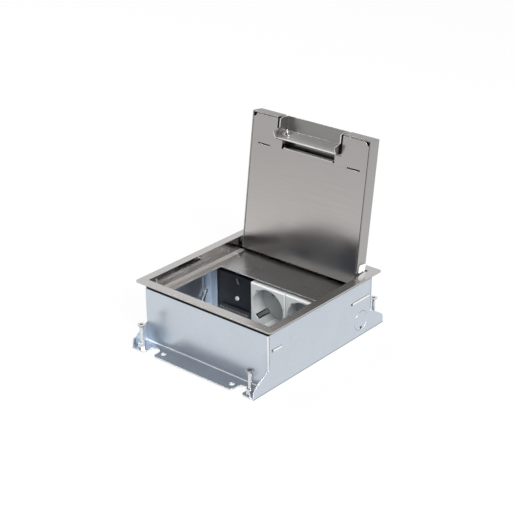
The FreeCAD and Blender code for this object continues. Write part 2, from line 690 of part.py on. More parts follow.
def lid_shell():
    """The outer pan of the lid: top plate, side walls, free edge wall and hinge edge wall."""
    shell = new_body("lid_shell")
    inner = half_lid - cell.shell_sheet
    notch_y = half_length - cell.notch_reach
    strip_top = hinge_z - cell.hinge_boss_radius - cell.strip_gap
    add(shell, "XY", shell_low, frame_top, ("rectangle", -half_lid, half_lid, -half_length, half_length))
    for side in (-1, 1):
        low, high = span(side, inner, half_lid)
        add(shell, "YZ", low, high, ("rectangle", -half_length, half_length, lid_face, frame_top))
    add(shell, "XZ", -half_length, cell.shell_sheet - half_length,
        ("rectangle", -half_lid, half_lid, lid_face, frame_top))
    wall_low = lid_face + cell.pan_sheet + cell.seam_gap
    add(shell, "XZ", half_length - cell.shell_sheet, half_length,
        ("rectangle", -inner, inner, wall_low, frame_top))
    for side in (-1, 1):
        low, high = span(side, inner, half_lid)
        cut(shell, "YZ", low, high, ("rectangle", notch_y, half_length, strip_top, frame_top))
    cut(shell, "XY", lid_face, frame_top,
        ("rectangle", -half_outlet, half_outlet, -half_length, from_edge(cell.shell_cut_depth)))
    round_edges(shell, cell.notch_round, "x",
                lambda at: near(at.y, notch_y) and near(at.z, strip_top))
    swing_open(shell)


def lid_pan():
    """The inner plate with folded sides, the cord cut-out and two short slots."""
    pan = new_body("lid_inner_plate")
    top = lid_face + cell.pan_sheet
    add(pan, "XY", lid_face, top, ("rectangle", -pan_edge, pan_edge, pan_front, half_length))
    for side in (-1, 1):
        low, high = span(side, pan_inner, pan_edge)
        add(pan, "YZ", low, high,
            ("rectangle", pan_front + cell.corner_relief, half_length - cell.shell_sheet - cell.seam_gap,
             lid_face, shell_low - cell.pan_wall_gap))
    cut(pan, "XY", lid_face, top, ("rectangle", -half_outlet, half_outlet, pan_front, outlet_end))
    cut(pan, "XY", lid_face, top, ("rectangle", -half_slot, half_slot, outlet_end, slot_end))
    half_lip = half_slot - cell.lip_side_gap
    add(pan, "XY", lid_face, lid_face + cell.lip_height,
        ("rectangle", -half_lip, half_lip, slot_end, slot_end + cell.pan_sheet))
    relief_x = half_slot - cell.lip_side_gap / 2
    relief_y = slot_end + cell.pan_sheet / 2
    cut(pan, "XY", lid_face, top,
        *[("circle", side * relief_x, relief_y, cell.lip_relief_radius) for side in (-1, 1)],
        *[("circle", side * pan_edge, pan_front, cell.corner_relief) for side in (-1, 1)])
    round_edges(pan, cell.lip_bend, "x", lambda at: near(at.y, slot_end) and near(at.z, lid_face))
    dash_x = half_lid - cell.dash_side
    dash_y = from_edge(cell.dash_place)
    half_dash = cell.dash_length / 2
    cut(pan, "XY", lid_face, top,
        *[("rectangle", side * dash_x - half_dash, side * dash_x + half_dash,
           dash_y - cell.dash_width / 2, dash_y + cell.dash_width / 2) for side in (-1, 1)])
    for side in (-1, 1):
        low, high = span(side, pan_inner, pan_edge)
        cut(pan, "YZ", low, high,
            ("circle", hinge_y, hinge_z, cell.hinge_pin_radius + cell.thread_gap))
    swing_open(pan)


def lid_stiffeners():
    """Two channels between the lid's plates that carry a footstep."""
    channels = new_body("lid_stiffeners")
    low = lid_face + cell.pan_sheet
    front = slot_end + cell.stiffener_front
    rear = half_length - cell.stiffener_rear
    middle = half_lid - cell.stiffener_side
    half_outer = cell.stiffener_width / 2
    half_inner = half_outer - cell.pan_sheet
    for side in (-1, 1):
        add(channels, "XY", low, shell_low,
            ("rectangle", side * middle - half_outer, side * middle + half_outer, front, rear))
    for side in (-1, 1):
        cut(channels, "XY", low, shell_low - cell.pan_sheet,
            ("rectangle", side * middle - half_inner, side * middle + half_inner, front, rear))
    swing_open(channels)


# A stop peg in the closed lid, so that it meets the hinge block when the lid is open
peg_rise = cell.hinge_boss_radius + cell.peg_radius + cell.peg_gap
peg_lead = math.sqrt(cell.peg_orbit.number ** 2 - peg_rise.number ** 2)
peg_turn = math.radians(math.degrees(math.atan2(peg_rise.number, peg_lead)) + cell.open_angle.number)
peg_y = hinge_y + cell.peg_orbit * math.cos(peg_turn)
peg_z = hinge_z + cell.peg_orbit * math.sin(peg_turn)


def stop_pegs():
    """Pegs on the inner plate that meet the hinge blocks when the lid is open."""
    pegs = new_body("lid_stop_pegs")
    for side in (-1, 1):
        low, high = span(side, pan_edge, half_lid)
        add(pegs, "YZ", low, high, ("circle", peg_y, peg_z, cell.peg_radius))
    swing_open(pegs)


def hinge_cheeks():
    """White cheeks that fill the lid's side wall notches in front of the stop pegs."""
    cheeks = new_body("hinge_cheeks")
    inner = half_lid - cell.shell_sheet
    front = half_length - cell.notch_reach + cell.cheek_gap
    low_z = hinge_z - cell.hinge_boss_radius - cell.strip_gap + cell.cheek_gap
    middle = (low_z + shell_low) / 2
    half_pad = cell.cheek_pad / 2
    for side in (-1, 1):
        low, high = span(side, inner, half_lid)
        add(cheeks, "YZ", low, high, ("rectangle", front, peg_y, low_z, frame_top))
    for side in (-1, 1):
        low, high = span(side, pan_edge, inner)
        add(cheeks, "YZ", low, high,
            ("rectangle", front, front + cell.cheek_pad, middle - half_pad, middle + half_pad))
    for side in (-1, 1):
        low, high = span(side, inner, half_lid)
        cut(cheeks, "YZ", low, high, ("circle", peg_y, peg_z, cell.peg_radius + cell.seat_gap))
    round_edges(cheeks, cell.notch_round, "x", lambda at: near(at.y, front) and near(at.z, low_z))
    swing_open(cheeks)


# Cord outlet

def cord_flap():
    """The flap: a top plate, an inclined wall and two S-shaped ears."""
    flap = new_body("cord_flap")
    inner = half_flap - cell.flap_sheet
    plate_low = frame_top - cell.flap_sheet
    front = from_edge(cell.flap_front_gap)
    add(flap, "XY", plate_low, frame_top, ("rectangle", -half_flap, half_flap, front, plate_end))
    fold = pivot_y - cell.flap_fold
    lip = pivot_y + cell.flap_lip_place
    lip_low = lid_face - cell.flap_lip_drop
    wall = [(fold, plate_low), (lip, lip_low), (lip + cell.flap_sheet, lip_low),
            (fold + cell.flap_sheet, plate_low)]
    add(flap, "YZ", -inner, inner, ("outline", wall))
    step_z = lid_face + cell.ear_lift
    heel = pivot_y + cell.ear_heel
    heel_low = lid_face - cell.ear_heel_drop
    nose = pivot_y - cell.ear_nose
    nose_low = lid_face - cell.ear_drop
    crown = [(pivot_y + cell.ear_round * math.cos(math.radians(turn)),
              pivot_z + cell.ear_round * math.sin(math.radians(turn))) for turn in (0, 45, 80)]
    profile = [(front, frame_top), (front, lid_face + cell.ear_front), (front + cell.ear_bevel, step_z),
               (pivot_y - cell.ear_step, step_z), (nose, nose_low),
               (nose + (heel - nose) / 2, nose_low + (heel_low - nose_low) / 3), (heel, heel_low),
               (heel, lid_face), *crown, (plate_end, frame_top)]
    for side in (-1, 1):
        low, high = span(side, inner, half_flap)
        add(flap, "YZ", low, high, ("outline", profile))
    for side in (-1, 1):
        low, high = span(side, inner, half_flap)
        cut(flap, "YZ", low, high, ("circle", pivot_y, pivot_z, cell.pivot_radius + cell.thread_gap))
    swing_open(flap)


tab_face = half_outlet + cell.pivot_tab_gap


def flap_brackets():
    """Two tabs welded under the shell that hold the flap's pivot pins."""
    tabs = new_body("flap_brackets")
    reach = cell.pivot_tab_reach
    for side in (-1, 1):
        low, high = span(side, tab_face, tab_face + cell.pivot_tab)
        add(tabs, "YZ", low, high,
            ("rectangle", pivot_y - reach, pivot_y + reach * 2, pivot_z - reach, shell_low))
    for side in (-1, 1):
        low, high = span(side, tab_face, tab_face + cell.pivot_tab)
        cut(tabs, "YZ", low, high, ("circle", pivot_y, pivot_z, cell.pivot_radius + cell.seat_gap))
    swing_open(tabs)


def flap_pins():
    pins = new_body("flap_pivot_pins")
    for side in (-1, 1):
        low, high = span(side, half_flap - cell.flap_sheet - cell.pivot_pin_end, tab_face + cell.pivot_tab)
        add(pins, "YZ", low, high, ("circle", pivot_y, pivot_z, cell.pivot_radius))
    swing_open(pins)


# Devices

module_half = (cell.module_pitch - cell.module_gap) / 2
module_middle = cell.module_level + cell.module_pitch / 2
insert_x = -cell.module_pitch
insert_face = cell.module_face + cell.carrier_sheet
cover_rear = cell.module_face + cell.well_depth + cell.cover_floor
base_rear = cover_rear + cell.base_depth


def carrier_bracket(label, side):
    """An angle on the side wall that holds one end of the carrier."""
    bracket = new_body(label)
    top = ledge_low - cell.rest_sheet - cell.carrier_top_gap
    low, high = span(side, inner_x - cell.carrier_sheet, inner_x)
    add(bracket, "XY", cell.box_sheet, top,
        ("rectangle", low, high, insert_face - cell.carrier_leg, insert_face))
    low, high = span(side, carrier_end + cell.carrier_gap, inner_x)
    add(bracket, "XY", cell.box_sheet, top, ("rectangle", low, high, cell.module_face, insert_face))


def carrier_cradle():
    """The tray that the modules stand in."""
    cradle = new_body("carrier_cradle")
    low = cell.module_level - cell.cradle_sheet
    rear = base_rear + cell.cradle_sheet
    add(cradle, "XY", low, cell.module_level, ("rectangle", -carrier_end, carrier_end, insert_face, rear))
    add(cradle, "XZ", base_rear, rear, ("rectangle", -carrier_end, carrier_end, low, module_top))


def black_insert():
    """The black insert of the empty module place, with a curved rib on its face."""
    insert = new_body("blank_insert")
    rear = insert_face + cell.insert_depth
    add(insert, "XZ", insert_face, rear,
        ("rectangle", insert_x - module_half, insert_x + module_half, cell.module_level, module_top))
    inner = module_half - cell.insert_wall
    cut(insert, "XZ", insert_face + cell.insert_wall, rear,
        ("rectangle", insert_x - inner, insert_x + inner, cell.module_level + cell.insert_wall,
         module_top - cell.insert_wall))
    rib_x, rib_z = insert_x + cell.arc_shift, module_top - cell.arc_drop
    turns = [math.radians(angle) for angle in (0, 15, 30, 45)]
    outer, bore = cell.arc_radius, cell.arc_radius - cell.arc_sheet
    arc = [(rib_x - outer * math.cos(turn), rib_z - outer * math.sin(turn)) for turn in turns]
    arc += [(rib_x - bore * math.cos(turn), rib_z - bore * math.sin(turn)) for turn in reversed(turns)]
    add(insert, "XZ", insert_face - cell.arc_sheet, insert_face, ("outline", arc))


def insert_screw():
    screw = new_body("insert_screw")
    add(screw, "XZ", insert_face - cell.insert_screw_head, insert_face,
        ("circle", insert_x + cell.insert_screw_shift, cell.insert_screw_level, cell.insert_screw_radius))


def cable_rail():
    """The toothed rail in front of the insert that cables are tied to."""
    rail = new_body("cable_rail")
    front = insert_face - cell.rail_depth
    length = cell.module_pitch - cell.rail_trim
    left = insert_x + cell.rail_shift - length / 2
    top = cell.rail_level + cell.rail_height
    add(rail, "XZ", front, insert_face, ("rectangle", left, left + length, cell.rail_level, top))
    count = int(length.number // cell.tooth_pitch.number)
    gap = cell.tooth_pitch / 2
    starts = [left + cell.tooth_pitch * i + gap / 2 for i in range(count)]
    cut(rail, "XZ", front, front + cell.tooth_depth,
        *[("rectangle", start, start + gap, cell.rail_level, top - cell.tooth_head) for start in starts])


def radial(x, z, angle, near_end, far_end, width):
    """A rectangle that runs outwards from a centre at an angle."""
    cosine, sine = math.cos(math.radians(angle)), math.sin(math.radians(angle))
    corners = []
    for along, across in ((near_end, -width / 2), (far_end, -width / 2), (far_end, width / 2),
                          (near_end, width / 2)):
        corners.append((x + Size.of(along) * cosine - across * sine,
                        z + Size.of(along) * sine + across * cosine))
    return ("outline", corners)


def square(x, z, width):
    return ("rectangle", x - width / 2, x + width / 2, z - width / 2, z + width / 2)


def socket(number, x):
    """One earthed socket: cover, base, contact sleeves and earth clips."""
    face, z = cell.module_face, module_middle
    well_floor = face + cell.well_depth
    clip_radius = cell.well_radius - cell.clip_inset
    clip_outer = clip_radius + cell.clip_sheet
    offset = cell.pin_pitch / 2 * math.sqrt(0.5)
    pins = [(x - offset, z + offset), (x + offset, z - offset)]

    cover = new_body(f"socket_cover_{number}")
    add(cover, "XZ", face, cover_rear,
        ("rectangle", x - module_half, x + module_half, cell.module_level, module_top))
    for direction in ("x", "z"):
        dress_edges("Chamfer", cover, cell.cover_chamfer, direction, lambda at: near(at.y, face))
    cut(cover, "XZ", face, well_floor, ("circle", x, z, cell.well_radius))
    for angle in (45, 225):
        cut(cover, "XZ", face + cell.groove_start, cover_rear,
            radial(x, z, angle, clip_radius - cell.clip_room, cell.well_radius + cell.groove_depth,
                   cell.groove_width))
    for angle in (135, 315):
        cut(cover, "XZ", face, face + cell.guide_depth,
            radial(x, z, angle, clip_radius, cell.well_radius + cell.guide_reach, cell.guide_width))
    cut(cover, "XZ", well_floor, cover_rear, *[("circle", px, pz, cell.pin_hole_radius) for px, pz in pins])

    base = new_body(f"socket_base_{number}")
    add(base, "XZ", cover_rear, base_rear, square(x, z, (module_half - cell.base_margin) * 2))
    strip_rear = cover_rear + cell.clip_gap + cell.clip_sheet
    channel = clip_outer + cell.clip_room
    cut(base, "XZ", cover_rear, strip_rear + cell.clip_gap,
        radial(x, z, 45, -channel, channel, cell.groove_width))
    sleeve_end = cover_rear + cell.sleeve_length
    cut(base, "XZ", cover_rear, sleeve_end,
        *[square(px, pz, cell.sleeve_width + cell.seat_gap * 2) for px, pz in pins])

    sleeves = new_body(f"contact_sleeves_{number}")
    sleeve_front = cover_rear + cell.seat_gap
    add(sleeves, "XZ", sleeve_front, sleeve_end, *[square(px, pz, cell.sleeve_width) for px, pz in pins])
    cut(sleeves, "XZ", sleeve_front, sleeve_end - cell.clip_sheet,
        *[square(px, pz, cell.sleeve_bore) for px, pz in pins])

    clips = new_body(f"earth_clips_{number}")
    add(clips, "XZ", cover_rear + cell.clip_gap, strip_rear,
        radial(x, z, 45, -clip_outer, clip_outer, cell.clip_width))
    for angle in (45, 225):
        add(clips, "XZ", face + cell.clip_setback, strip_rear,
            radial(x, z, angle, clip_radius, clip_outer, cell.clip_width))


side_wall("side_wall_left", -1)
side_wall("side_wall_right", 1)
end_wall("front_wall", -1)
end_wall("rear_wall", 1)
base_plate()
knockout_discs()
levelling_bushes()
for end_name, end in (("front", -1), ("rear", 1)):
    for hand_name, hand in (("left", -1), ("right", 1)):
        levelling_screw(f"levelling_screw_{end_name}_{hand_name}", hand * level_x, end * level_y)
earth_tab()
floor_frame()
frame_seal()
frame_brackets()
hinge_trough()
cover_plate()
hinge_block("hinge_block_left", -1)
hinge_block("hinge_block_right", 1)
hinge_pins()
lid_shell()
lid_pan()
lid_stiffeners()
stop_pegs()
hinge_cheeks()
cord_flap()
flap_brackets()
flap_pins()
carrier_bracket("carrier_bracket_left", -1)
carrier_bracket("carrier_bracket_right", 1)
carrier_cradle()
black_insert()
insert_screw()
cable_rail()
for number in (1, 2):
    socket(number, cell.module_pitch * (number - 1))

doc.recompute()
for item in doc.Objects:
    if "Invalid" in item.State or "Error" in item.State:
        raise RuntimeError(f"{item.Label} failed: {item.State}")
for node in nodes:
    if node.Shape.isNull() or not node.Shape.isValid():
        raise RuntimeError(f"{node.Label} has no valid shape")
os.makedirs("parts", exist_ok=True)
for node in nodes:
    node.Shape.exportStep(f"parts/{node.Label}.step")
print(f"{len(nodes)} nodes written")
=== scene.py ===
import json
import math

import bmesh
import bpy
from mathutils import Matrix, Vector


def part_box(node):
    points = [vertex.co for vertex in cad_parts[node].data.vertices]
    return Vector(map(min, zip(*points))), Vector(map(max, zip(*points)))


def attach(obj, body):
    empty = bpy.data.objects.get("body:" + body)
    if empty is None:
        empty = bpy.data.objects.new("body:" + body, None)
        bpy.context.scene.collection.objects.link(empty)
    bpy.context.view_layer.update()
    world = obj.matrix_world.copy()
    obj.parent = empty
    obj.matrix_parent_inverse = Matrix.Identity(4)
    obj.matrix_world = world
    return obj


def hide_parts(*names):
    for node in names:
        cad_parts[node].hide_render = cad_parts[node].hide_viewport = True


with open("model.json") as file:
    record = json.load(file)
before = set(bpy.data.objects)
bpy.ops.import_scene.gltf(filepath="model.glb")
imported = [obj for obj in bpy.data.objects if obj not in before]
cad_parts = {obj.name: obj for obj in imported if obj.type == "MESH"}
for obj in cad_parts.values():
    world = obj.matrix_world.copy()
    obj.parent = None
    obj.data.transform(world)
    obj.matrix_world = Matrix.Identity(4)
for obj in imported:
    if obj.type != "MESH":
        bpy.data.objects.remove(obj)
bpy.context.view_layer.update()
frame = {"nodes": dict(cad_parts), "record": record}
MM = 0.001

# The camera, solved from the floor frame's corners in the photograph
IMAGE_SIZE = 515  # pixels
FOCAL_PIXELS = 1340.9
SENSOR = 36.0  # millimetres
AZIMUTH, ELEVATION, ROLL = (math.radians(angle) for angle in (40.64, 24.92, -0.47))
TARGET = Vector((-64.54, 72.77, 40.0)) * MM
DISTANCE = 1.41492  # metres


def new_object(name, data):
    made = bpy.data.objects.new(name, data)
    bpy.context.scene.collection.objects.link(made)
    return made


def make_camera():
    back = Vector((math.sin(AZIMUTH) * math.cos(ELEVATION), -math.cos(AZIMUTH) * math.cos(ELEVATION),
                   math.sin(ELEVATION)))
    level = Vector((math.cos(AZIMUTH), math.sin(AZIMUTH), 0))
    upright = back.cross(level)
    right = math.cos(ROLL) * level + math.sin(ROLL) * upright
    up = math.cos(ROLL) * upright - math.sin(ROLL) * level
    data = bpy.data.cameras.new("camera")
    data.sensor_width = SENSOR
    data.lens = FOCAL_PIXELS * SENSOR / IMAGE_SIZE
    data.clip_end = 50
    camera = new_object("camera", data)
    turn = Matrix((right, up, back)).transposed().to_4x4()
    camera.matrix_world = Matrix.Translation(TARGET + back * DISTANCE) @ turn
    bpy.context.scene.camera = camera


class Tree:
    """A node tree. Its sockets take a value or the output of another node."""

    def __init__(self, owner):
        owner.use_nodes = True
        self.nodes = owner.node_tree.nodes
        self.links = owner.node_tree.links

    def node(self, kind, *sockets, **values):
        """A node with its first sockets, and its settings and sockets by name."""
        node = self.nodes.new(kind)
        for name, value in values.items():
            if hasattr(node, name):
                setattr(node, name, value)
            else:
                self.set(node, name.replace("_", " "), value)
        for socket, value in enumerate(sockets):
            self.set(node, socket, value)
        return node

    def set(self, node, socket, value):
        if isinstance(value, bpy.types.NodeSocket):
            self.links.new(value, node.inputs[socket])
        else:
            node.inputs[socket].default_value = value

    def math(self, operation, *values):
        return self.node("ShaderNodeMath", *values, operation=operation).outputs[0]

    def remap(self, value, low, high, start=0.0, end=1.0, curve="LINEAR"):
        """Low at the start and high at the end of a value's range."""
        node = self.node("ShaderNodeMapRange", interpolation_type=curve, Value=value)
        for socket, number in (("From Min", start), ("From Max", end), ("To Min", low), ("To Max", high)):
            self.set(node, socket, number)
        return node.outputs["Result"]


class Shader(Tree):
    """A node material around one Principled shader."""

    def __init__(self, name, color, metallic, roughness):
        self.material = bpy.data.materials.new(name)
        super().__init__(self.material)
        self.surface = self.nodes["Principled BSDF"]
        self.look(Base_Color=(*color, 1), Metallic=metallic, Roughness=roughness)

    def look(self, **values):
        for name, value in values.items():
            self.set(self.surface, name.replace("_", " "), value)

    def place(self, stretch):
        """Object coordinates in metres, stretched along each axis."""
        coordinates = self.node("ShaderNodeTexCoord").outputs["Object"]
        return self.node("ShaderNodeMapping", Vector=coordinates, Scale=stretch).outputs["Vector"]

    def noise(self, scale, stretch=(1, 1, 1), detail=3.0, roughness=0.5):
        return self.node("ShaderNodeTexNoise", Vector=self.place(stretch), Scale=scale, Detail=detail,
                         Roughness=roughness).outputs["Fac"]

    def cells(self, scale):
        return self.node("ShaderNodeTexVoronoi", Vector=self.place((1, 1, 1)), Scale=scale).outputs["Color"]

    def tint(self, value, color, dark, light):
        """A colour that varies from a darker to a lighter share of itself."""
        low, high = (tuple(channel * share for channel in color) for share in (dark, light))
        node = self.node("ShaderNodeMix", value, data_type="RGBA")
        self.set(node, 6, (*low, 1))
        self.set(node, 7, (*high, 1))
        return node.outputs[2]

    def bump(self, value, strength, distance):
        """A relief whose height is in millimetres."""
        node = self.node("ShaderNodeBump", Strength=strength, Distance=distance * MM, Height=value)
        self.look(Normal=node.outputs["Normal"])


def stainless(name, grain, color, roughness, metallic=1.0):
    """Brushed stainless sheet. The grain runs along the axis whose stretch is small."""
    steel = Shader(name, color, metallic, roughness)
    streaks = steel.noise(1.0, grain, detail=6.0, roughness=0.65)
    clouds = steel.noise(22.0)
    tone = steel.remap(streaks, 0, 1, start=0.3, end=0.7)
    steel.look(Base_Color=steel.tint(tone, color, dark=0.94, light=1.04),
               Roughness=steel.remap(clouds, roughness - 0.03, roughness + 0.04, start=0.35, end=0.65))
    steel.bump(streaks, strength=0.03, distance=0.05)
    return steel.material


def galvanised(name, color, roughness):
    """Zinc coated sheet with a fine spangle."""
    zinc = Shader(name, color, 1.0, roughness)
    spangle = zinc.cells(520.0)
    clouds = zinc.remap(zinc.noise(26.0), 0.0, 0.4, start=0.3, end=0.7)
    tone = zinc.math("ADD", zinc.remap(spangle, 0.0, 0.6), clouds)
    zinc.look(Base_Color=zinc.tint(tone, color, dark=0.95, light=1.05),
              Roughness=zinc.remap(spangle, roughness - 0.03, roughness + 0.05))
    zinc.bump(zinc.noise(1400.0), strength=0.05, distance=0.04)
    return zinc.material


def plastic(name, color, roughness, speckle=0.04):
    """Moulded plastic with a fine eroded grain."""
    moulded = Shader(name, color, 0.0, roughness)
    grain = moulded.noise(2200.0)
    clouds = moulded.noise(60.0, detail=2.0)
    moulded.look(Base_Color=moulded.tint(clouds, color, dark=1 - speckle, light=1 + speckle),
                 Roughness=moulded.remap(grain, roughness - 0.05, roughness + 0.05))
    moulded.bump(grain, strength=0.15, distance=0.02)
    return moulded.material


def bright_metal(name, color, roughness):
    """Turned and plated metal with faint turning marks."""
    metal = Shader(name, color, 1.0, roughness)
    marks = metal.noise(700.0, (1, 1, 3))
    metal.look(Base_Color=metal.tint(marks, color, dark=0.93, light=1.03),
               Roughness=metal.remap(marks, roughness - 0.05, roughness + 0.07))
    metal.bump(marks, strength=0.08, distance=0.03)
    return metal.material


FLAT_GRAIN = (14, 2600, 2600)
SIDE_GRAIN = (2600, 14, 2600)

materials = {
    "sheet": stainless("stainless_along_x", FLAT_GRAIN, (0.500, 0.488, 0.480), 0.24),
    "lid_plate": stainless("stainless_lid_plate", FLAT_GRAIN, (0.480, 0.460, 0.448), 0.20),
    "outer": stainless("stainless_outer_sheet", FLAT_GRAIN, (0.400, 0.390, 0.382), 0.26),
    "cover": stainless("stainless_cover_plate", FLAT_GRAIN, (0.365, 0.362, 0.362), 0.30),
    "zinc": galvanised("galvanised_sheet", (0.560, 0.608, 0.668), 0.30),
    "bright": bright_metal("plated_steel", (0.66, 0.67, 0.68), 0.22),
    # Near-black zinc on the lowest band of the box walls: a painted contact shadow
    "zinc_foot_painted_shadow": galvanised("zinc_lower_edge_painted_shadow", (0.16, 0.17, 0.18), 0.40),
    # Near-white zinc and steel on the sheets' narrow cut edges: a painted highlight along the edges
    "zinc_edge_painted_highlight": galvanised("zinc_cut_edge_painted_highlight", (0.90, 0.92, 0.95), 0.36),
    "steel_edge_painted_highlight": bright_metal("steel_cut_edge_painted_highlight", (0.88, 0.87, 0.86), 0.30),
    # The frame's up-facing ledge gets a partly diffuse copy of its steel that renders lighter: painted light
    "ledge": stainless("stainless_ledge_painted_light", SIDE_GRAIN, (0.46, 0.447, 0.434), 0.30, metallic=0.25),
    # The frame's skirt walls get a darker, glossier copy of its steel: painted shade
    "skirt_x_painted_shade": stainless("stainless_skirt_x", FLAT_GRAIN, (0.27, 0.264, 0.26), 0.16),
    "skirt_y_painted_shade": stainless("stainless_skirt_y", SIDE_GRAIN, (0.27, 0.264, 0.26), 0.16),
    "flap": stainless("stainless_flap", FLAT_GRAIN, (0.300, 0.294, 0.286), 0.26),
    # The cord flap's up-facing slant gets a lighter copy of the flap's steel: painted light
    "flap_slant_painted_light": stainless("stainless_flap_slant", FLAT_GRAIN, (0.60, 0.587, 0.575), 0.30),
    # The lid shell's up-facing free edge gets a darker copy of its steel: painted shade
    "outer_edge_painted_shade": stainless("stainless_free_edge_painted_shade", FLAT_GRAIN, (0.180, 0.176, 0.173), 0.26),
    "chrome": bright_metal("chrome_plate", (0.72, 0.73, 0.74), 0.24),
    # Near-black metal in recesses and holes: painted shade
    "recess": bright_metal("drive_recess_painted_shade", (0.045, 0.045, 0.048), 0.40),
    # Near-white metal on small bright parts: a painted glint
    "white_glint": bright_metal("polished_steel_painted_glint", (0.93, 0.93, 0.93), 0.25),
    # Near-white, mostly diffuse finish on the insert's screw: a painted highlight
    "screw_painted_highlight": stainless("white_screw_painted_highlight", FLAT_GRAIN, (0.97, 0.97, 0.97), 0.30, metallic=0.15),
    "rail": plastic("dark_grey_plastic", (0.050, 0.055, 0.060), 0.28),
    # Light grey on the cable rail's narrow tooth edges: a painted highlight
    "rail_edge_painted_highlight": plastic("plastic_edge_painted_highlight", (0.34, 0.36, 0.37), 0.35),
    "brass": bright_metal("contact_brass", (0.72, 0.55, 0.26), 0.28),
    "rubber": plastic("black_rubber", (0.012, 0.012, 0.013), 0.62),
    "black": plastic("black_plastic", (0.010, 0.012, 0.015), 0.34),
    "white": plastic("white_plastic", (0.925, 0.955, 0.94), 0.30, speckle=0.015),
    # Whiter copy on the socket covers' up-facing faces: painted light
    "white_top_painted_light": plastic("white_plastic_top_painted_light", (0.97, 0.97, 0.965), 0.26, speckle=0.01),
    # Grey copy inside the socket wells: painted shade
    "white_well_painted_shade": plastic("white_plastic_well_painted_shade", (0.60, 0.62, 0.615), 0.34, speckle=0.015),
    # Dark grey on the black insert's narrow rib edges: a painted highlight
    "rib_painted_highlight": plastic("black_plastic_rib", (0.11, 0.115, 0.12), 0.30),
    "grey": plastic("grey_plastic", (0.34, 0.35, 0.36), 0.45),
}

# Each CAD node's edge radius in millimetres, and the finishes that finish_faces and darken_foot give it; the
# finishes after the first are painted highlights, painted light and painted shade
FINISH = {
    "side_wall_left": (0.30, "zinc", "zinc_edge_painted_highlight", "zinc_foot_painted_shadow"),
    "side_wall_right": (0.30, "zinc", "zinc_edge_painted_highlight", "zinc_foot_painted_shadow"),
    "front_wall": (0.30, "zinc", "zinc_edge_painted_highlight", "zinc_foot_painted_shadow"),
    "rear_wall": (0.30, "zinc", "zinc_edge_painted_highlight", "zinc_foot_painted_shadow"),
    "base_plate": (0.20, "zinc"),
    "knockout_discs": (0.15, "zinc", "zinc_edge_painted_highlight"),
    "levelling_bushes": (0.20, "bright"),
    "earth_tab": (0.15, "bright"),
    "floor_frame": (0.12, "sheet", "steel_edge_painted_highlight", "ledge", "skirt_x_painted_shade", "skirt_y_painted_shade"),
    "frame_seal": (0.20, "rubber"),
    "frame_brackets": (0.20, "white_glint"),
    "hinge_trough": (0.25, "sheet", "steel_edge_painted_highlight"),
    "cover_plate": (0.25, "cover", "steel_edge_painted_highlight"),
    "hinge_block_left": (0.25, "white"),
    "hinge_block_right": (0.25, "white"),
    "hinge_pins": (0.15, "bright"),
    "carrier_bracket_left": (0.25, "zinc"),
    "carrier_bracket_right": (0.25, "zinc"),
    "carrier_cradle": (0.20, "zinc"),
    "blank_insert": (0.25, "black", "rib_painted_highlight"),
    "insert_screw": (0.30, "screw_painted_highlight"),
    "cable_rail": (0.15, "rail", "rail_edge_painted_highlight"),
    "socket_cover_1": (0.25, "white", "white_top_painted_light", "white_well_painted_shade"),
    "socket_cover_2": (0.25, "white", "white_top_painted_light", "white_well_painted_shade"),
    "socket_base_1": (0.25, "grey"),
    "socket_base_2": (0.25, "grey"),
    "contact_sleeves_1": (0.10, "brass"),
    "contact_sleeves_2": (0.10, "brass"),
    "earth_clips_1": (0.12, "bright"),
    "earth_clips_2": (0.12, "bright"),
    "lid_shell": (0.40, "outer", "outer_edge_painted_shade"),
    "lid_inner_plate": (0.20, "lid_plate", "steel_edge_painted_highlight"),
    "lid_stiffeners": (0.20, "sheet"),
    "lid_stop_pegs": (0.15, "bright"),
    "hinge_cheeks": (0.25, "white"),
    "flap_brackets": (0.20, "sheet"),
    "flap_pivot_pins": (0.10, "bright"),
    "cord_flap": (0.20, "flap", "steel_edge_painted_highlight", "flap_slant_painted_light"),
}
MERGE, FLAT = 0.002, math.radians(0.5)  # vertices this near, in millimetres, and edges this flat dissolve
IN_PLANE = 0.02  # faces at less than this angle, in radians, belong to one flat face
SHARP = math.radians(28)  # edges sharper than this are rounded
CUT_EDGE = 1.7  # faces narrower than this, in millimetres, are cut edges
LEDGE_LOW, LEDGE_HIGH, SKIRT_HIGH = 48.0, 52.5, 64.2  # levels on the floor frame, in millimetres
RIM_DEPTH = 1.5  # a socket cover's rim in front of its wells, in millimetres
# Height of the band along the foot of each wall that is painted dark as a contact shadow, in millimetres
FOOT_SHADOW_BAND = {"side_wall_left": 0.9, "side_wall_right": 0.9, "front_wall": 0.5, "rear_wall": 0.5}
# How far a normal rises on a flat top, a face that looks up, one that leans up, a wall and an underside
TOP, LOOKS_UP, LEANS_UP, WALL, UNDERSIDE = 0.98, 0.9, 0.5, 0.3, -0.95


def body_of(node):
    return next(body for body, members in frame["record"]["behaviour"]["bodies"].items() if node in members)


def apply_modifiers(piece):
    graph = bpy.context.evaluated_depsgraph_get()
    evaluated = piece.evaluated_get(graph)
    mesh = bpy.data.meshes.new_from_object(evaluated, preserve_all_data_layers=True, depsgraph=graph)
    piece.modifiers.clear()
    piece.data = mesh


def narrow(face):
    """Whether a face is as narrow as the cut edge of a sheet."""
    corners = [corner.co for corner in face.verts]
    length = max(max(co[axis] for co in corners) - min(co[axis] for co in corners) for axis in range(3))
    return face.calc_area() < CUT_EDGE * MM * length


def cut_edges(work):
    """The narrow faces that aren't pieces of a wide flat one."""
    chosen = {face for face in work.faces if narrow(face)}
    while True:
        joined = {face for face in chosen for edge in face.edges
                  if edge.calc_face_angle(1) < IN_PLANE
                  and any(other not in chosen for other in edge.link_faces)}
        if not joined:
            return chosen
        chosen -= joined


